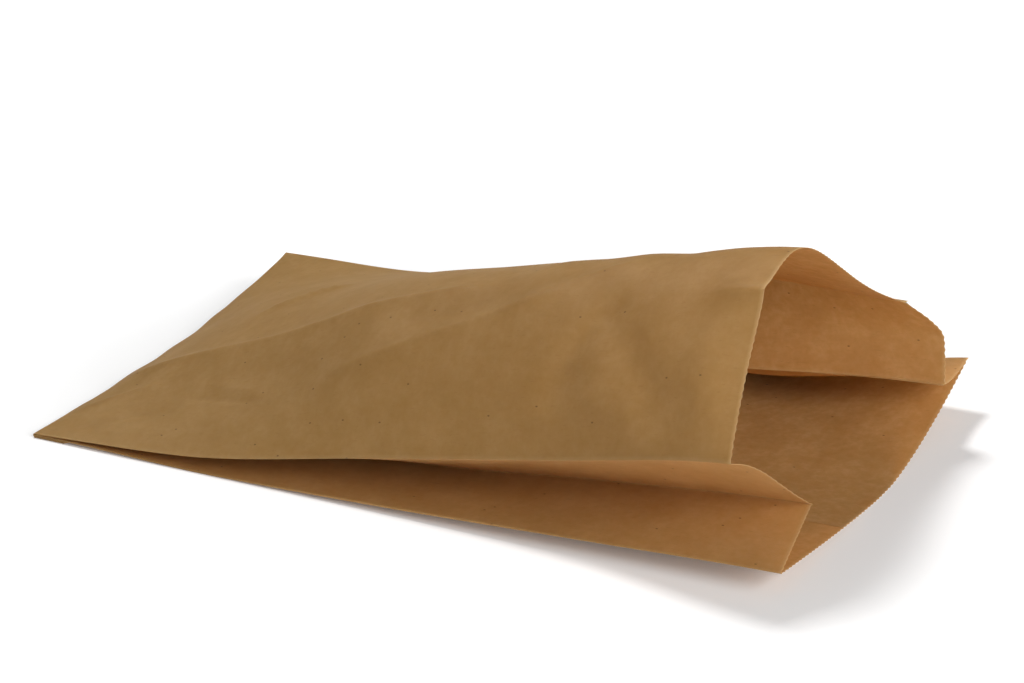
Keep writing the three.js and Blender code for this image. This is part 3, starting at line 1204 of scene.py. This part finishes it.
@dataclass(frozen=True)
class Studio:
    """Pale floor, soft lamps and the camera at the photograph's angle.

    The floor is a matt white sheet. Between glow_from and glow_to metres from the bag it turns
    to plain white for the camera, as an overexposed backdrop does.
    """

    aim_mm: tuple[float, float, float] = (-4.0, 22.4, 24.1)
    distance_mm: float = 958.5
    azimuth: float = 31.37
    elevation: float = 22.36
    roll: float = -3.17
    lens: float = 91.4
    floor_size: float = 12.0
    floor_colour: str = "#FBFBFB"
    floor_glow: float = 0.07
    glow_from: float = 0.17
    glow_to: float = 0.34
    world_strength: float = 0.16
    lamps: tuple[Lamp, ...] = (
        Lamp("key_lamp", (-0.42, 0.24, 1.2), 0.26, 9.5),
        Lamp("mouth_lamp", (1.35, -0.45, 0.6), 1.0, 23.0),
    )
    lamp_target: tuple[float, float, float] = (0, 0, 0.03)
    sensor_mm: float = 36.0

    def build(self) -> None:
        """Makes the floor, the world, the lamps and the camera."""
        self._floor()
        self._world()
        for lamp in self.lamps:
            self._add_lamp(lamp)
        self._camera()

    def _floor(self) -> None:
        """Adds the plain floor, which shows white to the camera and keeps the shadow."""
        bpy.ops.object.select_all(action="DESELECT")
        bpy.ops.mesh.primitive_plane_add(size=self.floor_size, location=(0, 0, 0))
        floor = bpy.context.active_object
        floor.name = "studio_floor"
        material = bpy.data.materials.new("matt_white_floor")
        material.use_nodes = True
        tree = material.node_tree
        shader = tree.nodes["Principled BSDF"]
        shader.inputs["Base Color"].default_value = linear_colour(self.floor_colour)
        shader.inputs["Roughness"].default_value = 1.0
        shader.inputs["Specular IOR Level"].default_value = 0.0
        shader.inputs["Emission Color"].default_value = (1, 1, 1, 1)
        path = add_node(tree, "ShaderNodeLightPath")
        place = add_node(tree, "ShaderNodeTexCoord")
        away = add_node(tree, "ShaderNodeVectorMath", {0: place.outputs["Object"]}, operation="LENGTH")
        glow = add_node(
            tree,
            "ShaderNodeMapRange",
            {
                "Value": away.outputs["Value"],
                "From Min": self.glow_from,
                "From Max": self.glow_to,
                "To Min": self.floor_glow,
                "To Max": 1.0,
            },
            interpolation_type="SMOOTHSTEP",
        )
        both = {0: path.outputs["Is Camera Ray"], 1: glow.outputs["Result"]}
        seen = add_node(tree, "ShaderNodeMath", both, operation="MULTIPLY")
        tree.links.new(seen.outputs["Value"], shader.inputs["Emission Strength"])
        floor.data.materials.append(material)

    def _world(self) -> None:
        """Sets the even light from all sides."""
        world = bpy.data.worlds.new("studio_world")
        bpy.context.scene.world = world
        world.use_nodes = True
        background = world.node_tree.nodes["Background"]
        background.inputs["Color"].default_value = (1, 1, 1, 1)
        background.inputs["Strength"].default_value = self.world_strength

    def _add_lamp(self, lamp: Lamp) -> None:
        """Adds a lamp that faces the bag.

        Args:
            lamp: The lamp.
        """
        bpy.ops.object.light_add(type="AREA", location=lamp.place)
        light = bpy.context.active_object
        light.name = lamp.name
        light.data.size = lamp.side
        light.data.energy = lamp.power
        towards = Vector(self.lamp_target) - Vector(lamp.place)
        light.rotation_euler = towards.to_track_quat("-Z", "Y").to_euler()

    def _camera(self) -> None:
        """Adds the camera, turned, tipped and rolled as the photograph's was."""
        azimuth, elevation = math.radians(self.azimuth), math.radians(self.elevation)
        aim = Vector(self.aim_mm) * MM
        ahead = Vector((-math.sin(azimuth), math.cos(azimuth), 0)) * math.cos(elevation)
        ahead.z = -math.sin(elevation)
        bpy.ops.object.camera_add(location=aim - ahead * self.distance_mm * MM)
        camera = bpy.context.active_object
        camera.name = "photo_camera"
        turn = Euler((math.pi / 2 - elevation, 0, azimuth)).to_matrix().to_4x4()
        roll = Matrix.Rotation(math.radians(self.roll), 4, "Z")
        camera.matrix_world = Matrix.Translation(camera.location) @ turn @ roll
        camera.data.lens = self.lens
        camera.data.sensor_width = self.sensor_mm
        bpy.context.scene.camera = camera


def main() -> None:
    """Builds the bag and the studio."""
    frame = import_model()
    log.info("the frame's nodes: %s", ", ".join(sorted(frame["nodes"])))
    bpy.context.scene.view_settings.view_transform = "Standard"
    bag = PaperBag().build()
    log.info("%s rides on %s", bag.name, BAG_BODY)
    Studio().build()


if __name__ == "__main__":
    main()
